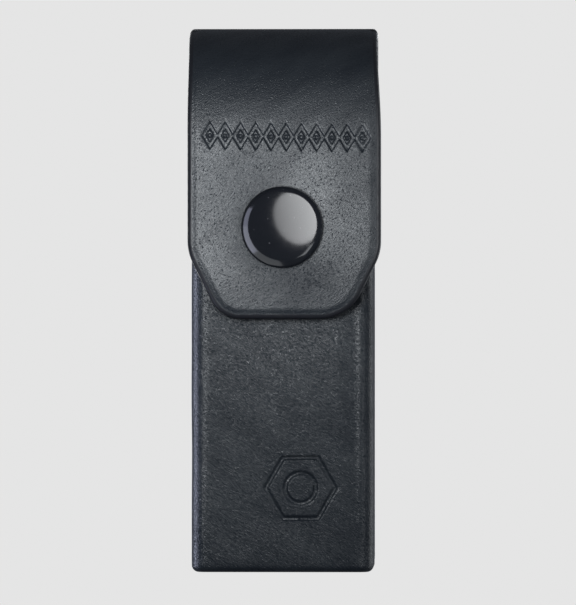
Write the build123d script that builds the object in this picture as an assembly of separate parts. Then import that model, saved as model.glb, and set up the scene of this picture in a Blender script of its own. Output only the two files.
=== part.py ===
from build123d import *
from math import cos, radians, sin
import os

# Belt sheath for a folding pocket multi tool, in black leather, closed by a press snap.
#
# A moulded leather pouch (front, two sides and a floor in one piece) is sewn by its turned-in
# flanges to a long strap. The strap is the sheath's back, then folds over the top and comes down
# the front as the closing flap. A belt loop is sewn on the back. A four-part press snap holds the
# flap to the front of the pouch. Millimetres, +Z up, front towards -Y, origin at the middle of the
# footprint on the surface that the sheath stands on.
#
# The strap is one cut of leather. It is split here at its two folds, so that each fold can bend.

# ---------------------------------------------------------------- driving sizes
HEIGHT = 112.0  # floor to the top of the strap
POUCH_WIDTH = 37.4
POUCH_DEPTH = 20.6  # front face to the inner face of the back panel
POUCH_HEIGHT = 96.0  # floor to the mouth
LEATHER = 2.2  # thickness of the pouch and the belt loop
STRAP = 2.4  # thickness of the strap
FLAP_WIDTH = 39.7
FLAP_STANDOFF = 2.6  # pouch front face to flap inner face, room for the snap
CAP_RISE = 2.9  # snap cap above the flap
LOOP_STANDOFF = 5.0  # room for the belt
SNAP_HEIGHT = 70.8  # snap axis above the floor

# ---------------------------------------------------------------- places worked out from them
FRONT_REACH = FLAP_STANDOFF + STRAP + CAP_RISE
BACK_REACH = POUCH_DEPTH + STRAP + LOOP_STANDOFF + LEATHER
FRONT_Y = (FRONT_REACH - BACK_REACH) / 2  # pouch front face
BACK_INNER_Y = FRONT_Y + POUCH_DEPTH
BACK_OUTER_Y = BACK_INNER_Y + STRAP
FLAP_OUTER_Y = FRONT_Y - FLAP_STANDOFF - STRAP
FLANGE_INNER_Y = BACK_INNER_Y - LEATHER
LOOP_TAB_Y = BACK_OUTER_Y + LEATHER  # outer face of the belt loop's sewn ends

OUTWARD, INWARD = (0, 1, 0), (0, -1, 0)  # away from the back, and into the pocket
UP, ACROSS = (0, 0, 1), (1, 0, 0)
BEYOND = 3 * POUCH_DEPTH  # cutting solids reach past the sheath by this
OVERCUT = 1.0  # a cut runs this far past the face that it opens

# ---------------------------------------------------------------- pouch
POUCH_EDGE_RADIUS = 2.8  # the four upright edges
POUCH_FLOOR_RADIUS = 2.0  # round the floor
FLANGE = 7.5  # width of the turned-in flanges
CORNER_SLIT = 0.5  # cut between flanges, and between floor and sides
SLIT_START = 6.0  # the corner is moulded whole this far behind the front face
MOUTH_SCOOP = 4.0  # how far the front's mouth dips
MOUTH_SCOOP_WIDTH = 24.0

# ---------------------------------------------------------------- strap
BACK_FOLD_RADIUS = 6.0  # outside of the fold behind the mouth
FRONT_FOLD_RADIUS = 16.0  # outside of the fold in front of it
TOP_WIDTH = 38.4  # strap width on the top
WIDEST_Z = 92.0  # the flap reaches its full width here
FLAP_END_Z = 52.5
FLAP_END_WIDTH = 25.6  # between the corners that the slanted sides make with the end
FLAP_SLANT_Z = 66.9  # the sides start to slant here
FLAP_CORNER_RADIUS = 6.7
FLAP_SHOULDER_RADIUS = 9.0
FLAP_CURL_Z = 61.5  # the flap turns in towards the pouch below this
FLAP_CURL = 1.9
FLAP_CURL_RADIUS = 22.0
FOLD_SLIT = 0.2  # between the strap's three parts
MITRE = radians(45)  # the strap is split across the middle of each fold
BACK_FLARE_Z = (97.0, 104.0)  # the back panel widens to the top's width between these

# ---------------------------------------------------------------- belt loop
LOOP_WIDTH = 25.0
LOOP_ENDS_Z = (13.0, 99.0)
LOOP_TAB = 13.5  # sewn length at each end
LOOP_RISE = 7.0  # height over which the loop leaves the back
LOOP_BEND_RADIUS = 3.4  # on its middle surface
LOOP_CORNER_RADIUS = 2.0

# ---------------------------------------------------------------- seams
THREAD_RADIUS = 0.35
STITCH = 4.0
SLIT_LENGTH = 2.2
SLIT_WIDTH = 0.9
GROOVE_DEPTH = 0.35
GROOVE_WIDTH = 1.0
SLIT_OVERCUT = 0.1
THREAD_LIFT = 0.06  # thread axis above the leather surface, in its groove
DIP_DEPTH = 1.2
DIP_HALF_WIDTH = 0.85
THREAD_BEND = 0.45
SIDE_SEAM_X = 15.0
SIDE_SEAM_Z = 8.4
SIDE_STITCHES = 21
FLOOR_SEAM_Z = 4.2
FLOOR_STITCHES = 7
LOOP_STITCHES = 5
LOOP_ROWS_LOWER = (16.4, 21.4)
LOOP_ROWS_UPPER = (90.6, 95.6)

# ---------------------------------------------------------------- snap, heights out from the pouch face
CAP_RADIUS = 8.35
CAP_CROWN = 18.0
CAP_SHOULDER = 1.5
CAP_SHEET = 0.45
CAP_SUNK = 0.2
CAP_LIP = 0.25
CAP_LIP_WIDTH = 0.8  # the rim is rolled in by this
POST_RADIUS = 2.4
POST_BORE = 2.05
POST_FLARE_RADIUS = 3.1
POST_SHEET = 0.45
POST_PLATE_RADIUS = 7.5
POST_CROWN = 0.3  # thickness of the post's closed end
POST_CROWN_BORE = 0.4
SOCKET_RADIUS = 6.2
SOCKET_MOUTH = 3.2
SOCKET_CHANNEL = 5.6
SOCKET_FACE = (0.35, 0.70)
SOCKET_BACK = (2.50, 2.90)
SOCKET_EDGE_RADIUS = 0.4
FLARE = 0.3
SPRING_WIRE = 0.275
SPRING_GAP = 2.03  # each wire's axis from the snap's axis
SPRING_HEIGHT = 0.995
SPRING_ARM = (-3.4, 4.0)  # from below the stud to above it
SPRING_RING = 4.5
SPRING_TAIL = (95, 125, 155)  # degrees round the channel
SPRING_BEND = 0.8
STUD_FLANGE = 5.5
STUD_SUNK = 0.15
STUD_PLATE = 0.3  # the flange's upper face
STUD_NECK = 1.72
STUD_BULGE = 2.2
STUD_TIP = 1.85
STUD_WAIST_TOP = 1.27
STUD_BULGE_HEIGHTS = (1.5, 1.65)
STUD_TIP_CHAMFER = 0.3
EYELET_BARREL = 1.3
EYELET_BORE = 0.95
EYELET_FLANGE = 4.5
EYELET_FLARE = 1.75
EYELET_SHEET = 0.25
EYELET_FLANGE_SHEET = 0.4
JOIN = 0.1  # one body's stages run into each other by this
FIT = 0.05  # radial room between pieces that pass through each other

SNAP_PLACE = Location(Plane(origin=(0, FRONT_Y, SNAP_HEIGHT), x_dir=(1, 0, 0), z_dir=(0, -1, 0)))


def write(shape, node):
    """One STEP file for each named piece."""
    export_step(shape, f"parts/{node}.step")


def block(x_range, y_range, z_range):
    """A box between two values on each axis."""
    spans = [high - low for low, high in (x_range, y_range, z_range)]
    middle = [(low + high) / 2 for low, high in (x_range, y_range, z_range)]
    return Pos(*middle) * Box(*spans)


def bored(radius, low, high):
    """A cylinder on the snap's axis, between two heights out from the pouch face."""
    return SNAP_PLACE * Pos(0, 0, (low + high) / 2) * Cylinder(radius, high - low)


def ring(outer, inner, low, high):
    """A flat ring on the local Z axis."""
    middle = Pos(0, 0, (low + high) / 2)
    return middle * (Cylinder(outer, high - low) - Cylinder(inner, high - low))


# ---------------------------------------------------------------- seams
def seam_frame(start, along, outward):
    """A seam's own frame: X along the seam, Z out of the leather."""
    return Location(Plane(origin=start, x_dir=along, z_dir=outward))


def thread(frame, stitches):
    """One thread of a seam. It lies on the leather and dips into the slit at each hole."""
    path = []
    for hole in range(stitches + 1):
        x = hole * STITCH
        if hole > 0:
            path.append((x - DIP_HALF_WIDTH, THREAD_LIFT))
        path.append((x, THREAD_LIFT - DIP_DEPTH))
        if hole < stitches:
            path.append((x + DIP_HALF_WIDTH, THREAD_LIFT))
    route = Plane.XZ * FilletPolyline(*path, radius=THREAD_BEND)
    section = Plane(origin=route @ 0, z_dir=route % 0) * Circle(THREAD_RADIUS)
    return frame * sweep(section, path=route)


def stitch_cuts(frame, stitches, depth):
    """The pressed groove that a seam lies in, and its slits through the leather."""
    length = stitches * STITCH
    groove = Pos(length / 2, 0, 0) * Box(length + SLIT_LENGTH, GROOVE_WIDTH, 2 * GROOVE_DEPTH)
    cuts = groove
    for hole in range(stitches + 1):
        slit_depth = depth + 2 * SLIT_OVERCUT
        slit = Pos(hole * STITCH, 0, -depth / 2) * Box(SLIT_LENGTH, SLIT_WIDTH, slit_depth)
        cuts += slit
    return frame * cuts


def pouch_seams():
    """Seams that join pouch and back panel: (name, start x, start z, direction, stitches)."""
    half_floor = FLOOR_STITCHES * STITCH / 2
    return [
        ("left_seam", -SIDE_SEAM_X, SIDE_SEAM_Z, UP, SIDE_STITCHES),
        ("right_seam", SIDE_SEAM_X, SIDE_SEAM_Z, UP, SIDE_STITCHES),
        ("floor_seam", -half_floor, FLOOR_SEAM_Z, ACROSS, FLOOR_STITCHES),
    ]


def loop_rows(rows):
    """Start points of the stitch rows at one end of the belt loop."""
    return [(-LOOP_STITCHES * STITCH / 2, z) for z in rows]


# ---------------------------------------------------------------- leather
def pouch_shell():
    """Front, sides, floor and turned-in flanges, moulded from one piece of leather."""
    half = POUCH_WIDTH / 2
    outer = block((-half, half), (FRONT_Y, BACK_INNER_Y), (0, POUCH_HEIGHT))
    outer = fillet(outer.edges().filter_by(Axis.Z), POUCH_EDGE_RADIUS)
    outer = fillet(outer.faces().sort_by(Axis.Z)[0].edges(), POUCH_FLOOR_RADIUS)
    inner = block(
        (LEATHER - half, half - LEATHER),
        (FRONT_Y + LEATHER, FLANGE_INNER_Y),
        (LEATHER, POUCH_HEIGHT + OVERCUT),
    )
    inner = fillet(inner.edges().filter_by(Axis.Z), POUCH_EDGE_RADIUS - LEATHER)
    window_half = half - FLANGE
    window = block(
        (-window_half, window_half),
        (FLANGE_INNER_Y - OVERCUT, BACK_INNER_Y + OVERCUT),
        (FLANGE + LEATHER, POUCH_HEIGHT + OVERCUT),
    )
    shell = outer - inner - window
    for side in (-1, 1):
        mitre = Box(2 * FLANGE, 2 * LEATHER, CORNER_SLIT)
        shell -= Pos(side * half, BACK_INNER_Y, 0) * Rot(0, side * 45, 0) * mitre
        shell -= block(
            sorted((side * (half - LEATHER - CORNER_SLIT), side * (half - LEATHER))),
            (FRONT_Y + SLIT_START, BACK_INNER_Y - LEATHER),
            (-OVERCUT, LEATHER),
        )
    scoop_radius = (MOUTH_SCOOP_WIDTH**2 / 4 + MOUTH_SCOOP**2) / (2 * MOUTH_SCOOP)
    scoop = Rot(90, 0, 0) * Cylinder(scoop_radius, 3 * LEATHER)
    shell -= Pos(0, FRONT_Y, POUCH_HEIGHT - MOUTH_SCOOP + scoop_radius) * scoop
    for _, x, z, along, stitches in pouch_seams():
        shell -= stitch_cuts(seam_frame((x, FLANGE_INNER_Y, z), along, INWARD), stitches, LEATHER)
    shell -= bored(EYELET_BARREL + FIT, -2 * LEATHER, LEATHER)
    shell -= bored(STUD_FLANGE + FIT, -STUD_SUNK, OVERCUT)
    shell -= bored(EYELET_FLANGE + FIT, -LEATHER - OVERCUT, STUD_SUNK - LEATHER)
    return shell


def strap_band():
    """The strap's side profile, from the floor up the back, over the top and down the front."""
    back = BACK_OUTER_Y - STRAP / 2
    front = FLAP_OUTER_Y + STRAP / 2
    top = HEIGHT - STRAP / 2
    centre_line = FilletPolyline(
        (back, 0),
        (back, top),
        (front, top),
        (front, FLAP_CURL_Z),
        (front + FLAP_CURL, FLAP_END_Z),
        radius=[BACK_FOLD_RADIUS - STRAP / 2, FRONT_FOLD_RADIUS - STRAP / 2, FLAP_CURL_RADIUS],
    )
    return extrude(Plane.YZ * trace(centre_line, STRAP), FLAP_WIDTH, both=True)


def corners_at(outline, height):
    """The corners of a flat outline that lie at a height."""
    return outline.vertices().filter_by_position(Axis.Y, height - 1, height + 1)


def flap_outline():
    """The top strap and flap seen from the front."""
    half, top_half, end_half = FLAP_WIDTH / 2, TOP_WIDTH / 2, FLAP_END_WIDTH / 2
    right = [
        (top_half, HEIGHT + OVERCUT),
        (half, WIDEST_Z),
        (half, FLAP_SLANT_Z),
        (end_half, FLAP_END_Z),
    ]
    left = [(-x, z) for x, z in reversed(right)]
    outline = make_face(Polyline(*right, *left, close=True))
    shoulders = corners_at(outline, FLAP_SLANT_Z)
    outline = fillet(shoulders, FLAP_SHOULDER_RADIUS)
    corners = corners_at(outline, FLAP_END_Z)
    outline = fillet(corners, FLAP_CORNER_RADIUS)
    return extrude(Plane.XZ * outline, BEYOND, both=True)


def back_outline():
    """The back panel seen from behind, a little wider where it meets the top."""
    half, top_half = POUCH_WIDTH / 2, TOP_WIDTH / 2
    low_flare, high_flare = BACK_FLARE_Z
    right = [
        (half, 0),
        (half, low_flare),
        (top_half, high_flare),
        (top_half, HEIGHT + OVERCUT),
    ]
    left = [(-x, z) for x, z in reversed(right)]
    outline = make_face(Polyline(*right, *left, close=True))
    corners = corners_at(outline, 0)
    outline = fillet(corners, POUCH_FLOOR_RADIUS)
    return extrude(Plane.XZ * outline, BEYOND, both=True)


def fold_point(radius, outer_y, inwards):
    """The middle of a fold on the strap's outer face, which is the fold's hinge axis."""
    share = radius * (1 - cos(MITRE))
    return (0, outer_y + inwards * share, HEIGHT - share)


BACK_FOLD = fold_point(BACK_FOLD_RADIUS, BACK_OUTER_Y, -1)
FRONT_FOLD = fold_point(FRONT_FOLD_RADIUS, FLAP_OUTER_Y, 1)


def beyond_fold(fold, towards, slack):
    """The room beyond a fold's mitre plane, moved on by slack: towards is 1 behind, -1 in front."""
    normal = Vector(0, towards * sin(MITRE), -cos(MITRE))
    reach = 2 * HEIGHT
    place = Location(Plane(origin=Vector(*fold) + normal * slack, z_dir=normal))
    half_space = place * Pos(0, 0, reach / 2) * Box(reach, reach, reach)
    middle_y = (BACK_FOLD[1] + FRONT_FOLD[1]) / 2
    near_half = Pos(0, middle_y + towards * reach / 2, 0) * Box(reach, reach, 2 * reach)
    return half_space & near_half


def split_strap():
    """Back panel, top strap and flap, split at the two folds."""
    band = strap_band()
    back = band & back_outline() & beyond_fold(BACK_FOLD, 1, FOLD_SLIT / 2)
    flap = band & flap_outline() & beyond_fold(FRONT_FOLD, -1, FOLD_SLIT / 2)
    top = band & flap_outline()
    top -= beyond_fold(BACK_FOLD, 1, -FOLD_SLIT / 2)
    top -= beyond_fold(FRONT_FOLD, -1, -FOLD_SLIT / 2)
    return back, top, flap


def finish_back_panel(panel):
    """Cuts the slits and grooves of every seam in the back panel."""
    for _, x, z, along, stitches in pouch_seams():
        frame = seam_frame((x, BACK_OUTER_Y, z), along, OUTWARD)
        panel -= stitch_cuts(frame, stitches, STRAP)
    for x, z in loop_rows(LOOP_ROWS_LOWER + LOOP_ROWS_UPPER):
        frame = seam_frame((x, BACK_INNER_Y, z), ACROSS, INWARD)
        panel -= stitch_cuts(frame, LOOP_STITCHES, STRAP)
    return panel


def finish_flap(flap):
    """Bores the flap for the snap, with the pressed seats of the cap and the socket."""
    flap_outer = FLAP_STANDOFF + STRAP
    flap -= bored(POST_RADIUS + FIT, 0, flap_outer + OVERCUT)
    flap -= bored(CAP_RADIUS + FIT, flap_outer - CAP_SUNK, flap_outer + OVERCUT)
    flap -= bored(SOCKET_RADIUS + FIT, 0, SOCKET_BACK[1])
    return flap


def belt_loop():
    """A leather strip sewn flat at both ends, standing off the back between them."""
    low, high = LOOP_ENDS_Z
    on_back = BACK_OUTER_Y + LEATHER / 2
    off_back = on_back + LOOP_STANDOFF
    centre_line = FilletPolyline(
        (on_back, low),
        (on_back, low + LOOP_TAB),
        (off_back, low + LOOP_TAB + LOOP_RISE),
        (off_back, high - LOOP_TAB - LOOP_RISE),
        (on_back, high - LOOP_TAB),
        (on_back, high),
        radius=LOOP_BEND_RADIUS,
    )
    strip = extrude(Plane.YZ * trace(centre_line, LEATHER), LOOP_WIDTH / 2, both=True)
    ends = strip.edges().filter_by(Axis.Y)
    strip = fillet(ends.group_by(Axis.Z)[0] + ends.group_by(Axis.Z)[-1], LOOP_CORNER_RADIUS)
    for x, z in loop_rows(LOOP_ROWS_LOWER + LOOP_ROWS_UPPER):
        frame = seam_frame((x, LOOP_TAB_Y, z), ACROSS, OUTWARD)
        strip -= stitch_cuts(frame, LOOP_STITCHES, LEATHER)
    return strip


# ---------------------------------------------------------------- snap
def dome(radius, rise, crown, shoulder):
    """A round button with a domed top and a rounded shoulder, standing on Z = 0."""
    profile = Pos(radius / 2, rise / 2) * Rectangle(radius, rise)
    profile &= Pos(0, rise - crown) * Circle(crown)
    rim = profile.vertices().sort_by(Axis.X)[-2:].sort_by(Axis.Y)[-1]
    return revolve(Plane.XZ * fillet(rim, shoulder), Axis.Z)


def snap_cap():
    """The cap: a domed sheet shell with its rim rolled under the post's flange."""
    rise = CAP_RISE + CAP_SUNK
    shell = dome(CAP_RADIUS, rise, CAP_CROWN, CAP_SHOULDER)
    inside = CAP_RADIUS - CAP_SHEET
    hollow = dome(inside, rise - CAP_SHEET, CAP_CROWN - CAP_SHEET, CAP_SHOULDER - CAP_SHEET)
    shell -= hollow
    shell += ring(CAP_RADIUS - FIT, inside - CAP_LIP_WIDTH, 0, CAP_LIP)
    base = FLAP_STANDOFF + STRAP - CAP_SUNK
    return SNAP_PLACE * Pos(0, 0, base) * shell


def snap_cap_post():
    """The cap's inner plate and hollow post, flared inside the socket."""
    plate_low = FLAP_STANDOFF + STRAP - CAP_SUNK + CAP_LIP
    plate_high = plate_low + POST_SHEET
    plate = ring(POST_PLATE_RADIUS, POST_BORE, plate_low, plate_high)
    crown = ring(POST_RADIUS, POST_CROWN_BORE, plate_high, plate_high + POST_CROWN)
    barrel = ring(POST_RADIUS, POST_BORE, SOCKET_BACK[0] - FLARE, plate_high + JOIN)
    flare = ring(POST_FLARE_RADIUS, POST_BORE, SOCKET_BACK[0] - FLARE, SOCKET_BACK[0])
    return SNAP_PLACE * (plate + crown + barrel + flare)


def snap_socket():
    """The female half: a hollow ring whose channel holds the two spring wires."""
    low, high = SOCKET_FACE[0], SOCKET_BACK[1]
    body = ring(SOCKET_RADIUS, SOCKET_CHANNEL, low, high)
    body += ring(SOCKET_CHANNEL + JOIN, SOCKET_MOUTH, *SOCKET_FACE)
    body += ring(SOCKET_CHANNEL + JOIN, POST_RADIUS + FIT, *SOCKET_BACK)
    outer_rims = body.edges().filter_by(GeomType.CIRCLE).sort_by(SortBy.RADIUS)[-2:]
    return SNAP_PLACE * fillet(outer_rims.sort_by(Axis.Z)[0], SOCKET_EDGE_RADIUS)


def snap_spring(side):
    """One spring wire: a straight arm beside the stud, its tail round the socket's channel."""
    arm = [(SPRING_GAP, end) for end in SPRING_ARM]
    turns = [radians(angle) for angle in SPRING_TAIL]
    tail = [(SPRING_RING * cos(turn), SPRING_RING * sin(turn)) for turn in turns]
    route = FilletPolyline(*arm, *tail, radius=SPRING_BEND)
    section = Plane(origin=route @ 0, z_dir=route % 0) * Circle(SPRING_WIRE)
    wire = sweep(section, path=route)
    turn = 0 if side > 0 else 180
    return SNAP_PLACE * Pos(0, 0, SPRING_HEIGHT) * Rot(0, 0, turn) * wire


def snap_stud():
    """The male half: a flanged sheet stud with a waist that the spring wires grip."""
    bore = EYELET_BARREL + FIT
    base = ring(STUD_FLANGE, bore, -STUD_SUNK, STUD_PLATE)
    bulge_low, bulge_high = STUD_BULGE_HEIGHTS
    profile = [
        (bore, 0),
        (STUD_NECK, 0),
        (STUD_NECK, STUD_WAIST_TOP),
        (STUD_BULGE, bulge_low),
        (STUD_BULGE, bulge_high),
        (STUD_BULGE - STUD_TIP_CHAMFER, STUD_TIP),
        (bore, STUD_TIP),
    ]
    head = revolve(Plane.XZ * make_face(Polyline(*profile, close=True)), Axis.Z)
    return SNAP_PLACE * (base + head)


def snap_stud_eyelet():
    """The hollow rivet that holds the stud: flange in the pocket, flared over the stud's tip."""
    seat = STUD_SUNK - LEATHER
    foot = seat - EYELET_FLANGE_SHEET
    flange = ring(EYELET_FLANGE, EYELET_BORE, foot, seat)
    barrel = ring(EYELET_BARREL, EYELET_BORE, foot, STUD_TIP + EYELET_SHEET)
    flare = ring(EYELET_FLARE, EYELET_BORE, STUD_TIP, STUD_TIP + EYELET_SHEET)
    return SNAP_PLACE * (flange + barrel + flare)


# ---------------------------------------------------------------- assembly
def write_seams():
    """Two threads for each seam: one lies outside, and its partner on the other face."""
    for name, x, z, along, stitches in pouch_seams():
        outer = seam_frame((x, BACK_OUTER_Y, z), along, OUTWARD)
        inner = seam_frame((x, FLANGE_INNER_Y, z), along, INWARD)
        write(thread(outer, stitches), f"{name}_outer_thread")
        write(thread(inner, stitches), f"{name}_inner_thread")
    for name, rows in (("loop_lower", LOOP_ROWS_LOWER), ("loop_upper", LOOP_ROWS_UPPER)):
        starts = loop_rows(rows)
        faces = (("outer", LOOP_TAB_Y, OUTWARD), ("inner", BACK_INNER_Y, INWARD))
        for place, y, outward in faces:
            frames = [seam_frame((x, y, z), ACROSS, outward) for x, z in starts]
            threads = [thread(frame, LOOP_STITCHES) for frame in frames]
            write(Compound(children=threads), f"{name}_{place}_thread")


def main():
    os.makedirs("parts", exist_ok=True)
    back, top, flap = split_strap()
    write(pouch_shell(), "pouch_shell")
    write(finish_back_panel(back), "back_panel")
    write(top, "top_strap")
    write(finish_flap(flap), "flap")
    write(belt_loop(), "belt_loop")
    write(snap_cap(), "snap_cap")
    write(snap_cap_post(), "snap_cap_post")
    write(snap_socket(), "snap_socket")
    write(snap_spring(1), "snap_spring_right")
    write(snap_spring(-1), "snap_spring_left")
    write(snap_stud(), "snap_stud")
    write(snap_stud_eyelet(), "snap_stud_eyelet")
    write_seams()
    print("back fold hinge", BACK_FOLD, "front fold hinge", FRONT_FOLD)


if __name__ == "__main__":
    main()
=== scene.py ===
from collections import namedtuple
from math import cos, pi, radians, sin, sqrt

import bpy
import numpy as np
from mathutils import Matrix, Vector, noise


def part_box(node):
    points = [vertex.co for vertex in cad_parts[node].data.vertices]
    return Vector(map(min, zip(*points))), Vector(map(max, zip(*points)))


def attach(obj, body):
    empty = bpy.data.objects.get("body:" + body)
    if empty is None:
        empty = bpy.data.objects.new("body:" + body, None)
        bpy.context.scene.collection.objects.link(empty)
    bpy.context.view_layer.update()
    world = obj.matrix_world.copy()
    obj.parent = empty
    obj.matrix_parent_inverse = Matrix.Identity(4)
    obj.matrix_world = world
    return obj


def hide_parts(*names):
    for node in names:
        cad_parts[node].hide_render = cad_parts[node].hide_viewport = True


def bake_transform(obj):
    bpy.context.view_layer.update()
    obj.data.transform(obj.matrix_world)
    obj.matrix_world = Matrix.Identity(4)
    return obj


# A black leather belt sheath with a snap-closed flap. Everything is in metres, in the frame's axes:
# +Z up, the front towards -Y. Each leather piece is one closed sheet: an outer grain face, an inner
# flesh face, and a rounded, painted edge all round.

MM = 0.001

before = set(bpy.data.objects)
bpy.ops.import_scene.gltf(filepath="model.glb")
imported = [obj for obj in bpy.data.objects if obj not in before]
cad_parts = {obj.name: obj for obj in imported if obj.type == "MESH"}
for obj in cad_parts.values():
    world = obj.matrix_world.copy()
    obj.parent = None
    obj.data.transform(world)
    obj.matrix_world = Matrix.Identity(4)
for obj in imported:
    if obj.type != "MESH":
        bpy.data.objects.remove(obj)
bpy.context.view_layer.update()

# ---------------- places, from the frame
POUCH_LOW, POUCH_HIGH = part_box("pouch_shell")
PANEL_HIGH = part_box("back_panel")[1]
FLAP_LOW, FLAP_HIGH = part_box("flap")
LOOP_LOW, LOOP_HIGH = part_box("belt_loop")
CAP_LOW, CAP_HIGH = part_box("snap_cap")
TOP_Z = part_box("top_strap")[1].z
FLAP_FACE = FLAP_LOW.y  # the plane of the flap's straight part
FLAP_END_Z = FLAP_LOW.z - 0.6 * MM
SNAP_Z = (CAP_LOW.z + CAP_HIGH.z) / 2
STRAP = PANEL_HIGH.y - POUCH_HIGH.y  # thickness of the strap

# ---------------- leather
LEATHER = 2.2 * MM  # thickness of the pouch and the belt loop
EDGE = 0.95 * MM  # width of the strap's rounded edge
THIN_EDGE = 0.6 * MM  # the same on the pouch and the loop
EDGE_STEPS = 9  # faces round the edge
CORNER_STEPS = 4  # points on each half of a small corner
GRAIN_FACE, PAINTED_FACE, FLESH_FACE = 0, 1, 2  # the material slots of a leather piece
CUT, CUT_CORNER = 1, 2  # marks for the points of an end that is cut flat

# ---------------- strap
BACK_FOLD_RADIUS = 6 * MM
FRONT_FOLD_RADII = (17.6 * MM, 30 * MM)  # over the top, then easing into the straight of the flap
EASED_TURN = radians(22)  # what the easier curve turns through
CURL_Z = 60.5 * MM  # the flap turns in towards the pouch below this
CURL = 1.1 * MM
CURL_RADIUS = 60 * MM
PANEL_HALF = POUCH_HIGH.x
PANEL_CORNER_RADIUS = 2 * MM
PANEL_FLARE_Z = (97 * MM, 104 * MM)  # where the panel widens to the strap's full width

# ---------------- flap
TOP_HALF = 19.4 * MM  # half the width at the top
WIDEST_Z = 92 * MM  # below this it is as wide as the flap's box
SLANT_Z = 66.0 * MM  # the sides start to slant here
END_HALF = 13.2 * MM  # half the width at the lower end, before the corners are rounded
SHOULDER_RADIUS = 9 * MM
LEFT_CORNER_RADIUS = 6.7 * MM
RIGHT_CORNER_RADIUS = 9.5 * MM
FLAP_ASKEW = 0.5 * MM  # the flap sits this far to the right of the pouch
FLAP_COLUMNS = 200
FLAP_DISH = 0.35 * MM  # how far the middle sinks
TURN_DOWN = 0.3 * MM  # how far the grain face sinks at the cut edge
TURN_WIDTH = 1.8 * MM
DIMPLE = 1.5 * MM  # the snap draws the leather in round it
DIMPLE_WIDTH = 8 * MM
DIMPLE_HEIGHT = 11 * MM
CREASES = (  # ends of fine creases, as x and z in mm
    ((2.5, 60.5), (9.5, 57.5)),
    ((5.5, 63.2), (13.5, 58.6)),
    ((9.5, 64.2), (12.5, 59.8)),
    ((-6.0, 59.0), (0.5, 58.2)),
)
CREASE_DEPTH = 0.15 * MM
CREASE_SHAPE = (0.1 * MM, 0.7 * MM)  # half of its floor, and its wall

# ---------------- pouch
POUCH_EDGE_RADIUS = 3.2 * MM
POUCH_EDGE_STEPS = 5  # points on each half of an upright edge
POUCH_FLOOR_RADIUS = 1.4 * MM
POUCH_DISH = 0.5 * MM  # how far the middle of the front sinks
RIGHT_EASE = 0.35 * MM  # the front face starts to fall away before the right edge
RIGHT_EASE_X = (11 * MM, 17 * MM)
FLANGE = 7.5 * MM  # width of the edges that turn in over the back
WINDOW_HALF = POUCH_HIGH.x - FLANGE + THIN_EDGE  # the back is open between them, above the sill
SILL_Z = FLANGE + LEATHER - THIN_EDGE
MOUTH_Z = POUCH_HIGH.z - THIN_EDGE
SCOOP = 4 * MM  # depth of the mouth's scoop
SCOOP_HALF = 12 * MM
SCOOP_START_Z = 80 * MM  # the rows of points start to follow the scoop here

# ---------------- belt loop
LOOP_TAB = 13.5 * MM  # length of each sewn end
LOOP_RISE = 7 * MM  # height over which the loop leaves the back
LOOP_BEND_RADIUS = 3.4 * MM + LEATHER / 2
LOOP_CORNER_RADIUS = 1.6 * MM
LOOP_SHEET_X = 100 * MM  # its grain is taken from this far along the hide

# ---------------- snap cap
CAP_ASKEW = 0.5 * MM
CAP_CROWN_RADIUS = 18 * MM  # radius of the dome's curve
CAP_DOME_RADIUS = 7.05 * MM  # the dome's rim
CAP_SHOULDER = (  # steps out and down from the dome's rim, in mm
    (0.15, 0.09), (0.35, 0.26), (0.60, 0.50), (0.85, 0.77), (1.05, 1.02), (1.20, 1.27),
)
CAP_SHOULDER_FALL = 1.55 * MM
CAP_SKIRT = (0.9 * MM, 1.1 * MM)  # how far its edge and its underside reach below the base
CAP_SIDES = 128

# ---------------- seams, as the frame's threads lie
STITCH = 4 * MM
GROOVE = (0.25 * MM, 0.55 * MM)  # half of its floor, and its wall
HOLE = (0.2 * MM, 1.1 * MM)  # the same along the seam, for the dent at each hole
GROOVE_DEPTH = 0.35 * MM
GROOVE_RUN_OUT = (0.6 * MM, 1.6 * MM)  # the groove fades out this far past its last hole
SIDE_SEAM_X = 15 * MM
SIDE_SEAM_Z = (8.4 * MM, 92.4 * MM)
FLOOR_SEAM_Z = 4.2 * MM
FLOOR_SEAM_HALF = 14 * MM
LOOP_ROW_HALF = 10 * MM
LOOP_ROWS_Z = (16.4 * MM, 21.4 * MM, 90.6 * MM, 95.6 * MM)

# ---------------- pressed ornaments
BAND_Z = 89.3 * MM  # height of the row of lozenges across the flap
BAND_SLOPE = -0.02
LOZENGES = 11
LOZENGE_PITCH = 3.12 * MM
LOZENGE_HALF = (1.25 * MM, 2.1 * MM)
LOZENGE_X = 0.9 * MM  # middle of the row
PRESS_DEPTH = 0.4 * MM
PRESS_WALL = 0.25 * MM  # width of a pressed line's wall
LINE_HALF = 0.26 * MM
DOT = (0.2 * MM, 0.35 * MM)  # radius and wall of a lozenge's dot
EMBLEM = (3.7 * MM, 17.3 * MM)  # middle of the hexagon, as x and z
HEX_RADIUS = 6.2 * MM  # to the flats
RING_RADIUS = 3.1 * MM
PRESSED_STEP = 0.24 * MM  # spacing of the points round the emblem


# ---------------- small tools
def smoothstep(x, low, high):
    """0 up to low, rising smoothly to 1 at high."""
    t = np.clip((x - low) / (high - low), 0, 1)
    return t * t * (3 - 2 * t)


def pressed(distance, half, wall=PRESS_WALL):
    """1 within half of a line, falling to 0 over a wall's width."""
    return 1 - smoothstep(distance, half, half + wall)


def stations(low, high, step, *dense):
    """Values from low to high, step apart, and closer in each dense (low, high, step) stretch."""
    values = [low]
    while values[-1] < high - 1e-9:
        here = values[-1]
        steps = [s for a, b, s in dense if a - step <= here < b]
        values.append(min(here + min(steps + [step]), high))
    if len(values) > 2 and values[-1] - values[-2] < step / 4:
        del values[-2]
    return np.array(values)


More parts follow.
